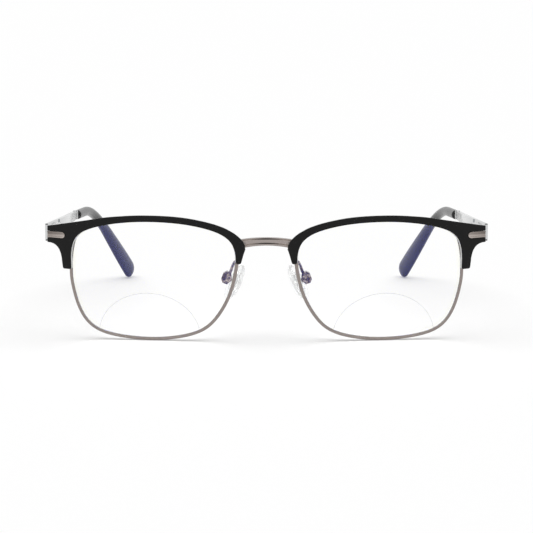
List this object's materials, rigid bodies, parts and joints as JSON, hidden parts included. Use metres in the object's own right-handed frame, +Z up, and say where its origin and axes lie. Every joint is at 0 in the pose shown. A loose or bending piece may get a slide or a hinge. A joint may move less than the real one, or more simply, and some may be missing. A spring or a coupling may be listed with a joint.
{
  "type": "bifocal reading glasses",
  "caption": "Bifocal reading glasses with black brow plates over metal eyewires, a grooved bridge, clear nose pads and folding temples on spring hinges.",
  "frame": {"origin": "centre of the bounding box's footprint, on the surface the glasses stand on", "axes": "+X to the wearer's left, +Y from the front back to the temple tips, +Z up; the glasses stand on their eyewires and temple tips"},
  "size_m": [0.1386, 0.1356, 0.0401],
  "materials": {
    "lens": "clear moulded lens with a blue-violet anti-reflection coat",
    "brow_lacquer": "matte black lacquer on aluminium plate",
    "gunmetal": "satin taupe gunmetal plating on nickel silver",
    "silver_steel": "satin stainless steel",
    "nickel": "polished nickel plating",
    "pad_silicone": "clear soft silicone",
    "pad_insert": "clear hard polycarbonate",
    "tip_black": "glossy black cellulose acetate",
    "screw_steel": "polished stainless steel",
    "spring_steel": "drawn spring wire"
  },
  "bodies": {
    "front": {"bridge": "gunmetal", "left_plate_tab": "gunmetal", "right_plate_tab": "gunmetal", "left_eyewire": "gunmetal", "right_eyewire": "gunmetal", "left_lens": "lens", "right_lens": "lens", "left_brow_plate": "brow_lacquer", "right_brow_plate": "brow_lacquer", "left_trim_bar": "gunmetal", "right_trim_bar": "gunmetal", "left_endpiece": "silver_steel", "right_endpiece": "silver_steel", "left_rim_lock_upper": "gunmetal", "right_rim_lock_upper": "gunmetal", "left_rim_lock_lower": "gunmetal", "right_rim_lock_lower": "gunmetal", "rim_lock_screws": "screw_steel", "brow_screws": "screw_steel", "left_pad_arm": "nickel", "right_pad_arm": "nickel", "left_pad_box": "nickel", "right_pad_box": "nickel", "pad_screws": "nickel", "left_hinge_leaf": "silver_steel", "right_hinge_leaf": "silver_steel", "hinge_screws": "screw_steel"},
    "left_hinge_slide": {"left_hinge_slide": "silver_steel", "left_hinge_stop": "silver_steel"},
    "left_temple": {"left_temple": "silver_steel", "left_temple_collar": "silver_steel", "left_temple_tip": "tip_black", "left_hinge_box": "silver_steel", "left_hinge_cap": "silver_steel", "left_hinge_spring": "spring_steel"},
    "left_pad": {"left_nose_pad": "pad_silicone", "left_pad_insert": "pad_insert"},
    "right_hinge_slide": {"right_hinge_slide": "silver_steel", "right_hinge_stop": "silver_steel"},
    "right_temple": {"right_temple": "silver_steel", "right_temple_collar": "silver_steel", "right_temple_tip": "tip_black", "right_hinge_box": "silver_steel", "right_hinge_cap": "silver_steel", "right_hinge_spring": "spring_steel"},
    "right_pad": {"right_nose_pad": "pad_silicone", "right_pad_insert": "pad_insert"}
  },
  "joints": [
    {"name": "left_temple_fold", "type": "hinge", "parent": "front", "child": "left_hinge_slide", "pos_m": [0.06698, -0.0552, 0.03347], "axis": [0, 0, 1], "range_deg": [0, 82]},
    {"name": "left_temple_spring", "type": "slide", "parent": "left_hinge_slide", "child": "left_temple", "axis": [-0.0279, 0.9996, 0], "range_m": [0, 0.0012], "stiffness_N_per_m": 800, "springref_m": -0.0006, "deforming": ["left_hinge_spring"]},
    {"name": "left_pad_rock", "type": "hinge", "parent": "front", "child": "left_pad", "pos_m": [0.0119, -0.05722, 0.01915], "axis": [0, 1, 0], "range_deg": [-8, 8]},
    {"name": "right_temple_fold", "type": "hinge", "parent": "front", "child": "right_hinge_slide", "pos_m": [-0.06698, -0.0552, 0.03347], "axis": [0, 0, -1], "range_deg": [0, 75]},
    {"name": "right_temple_spring", "type": "slide", "parent": "right_hinge_slide", "child": "right_temple", "axis": [0.0279, 0.9996, 0], "range_m": [0, 0.0012], "stiffness_N_per_m": 800, "springref_m": -0.0006, "deforming": ["right_hinge_spring"]},
    {"name": "right_pad_rock", "type": "hinge", "parent": "front", "child": "right_pad", "pos_m": [-0.0119, -0.05722, 0.01915], "axis": [0, 1, 0], "range_deg": [-8, 8]}
  ]
}
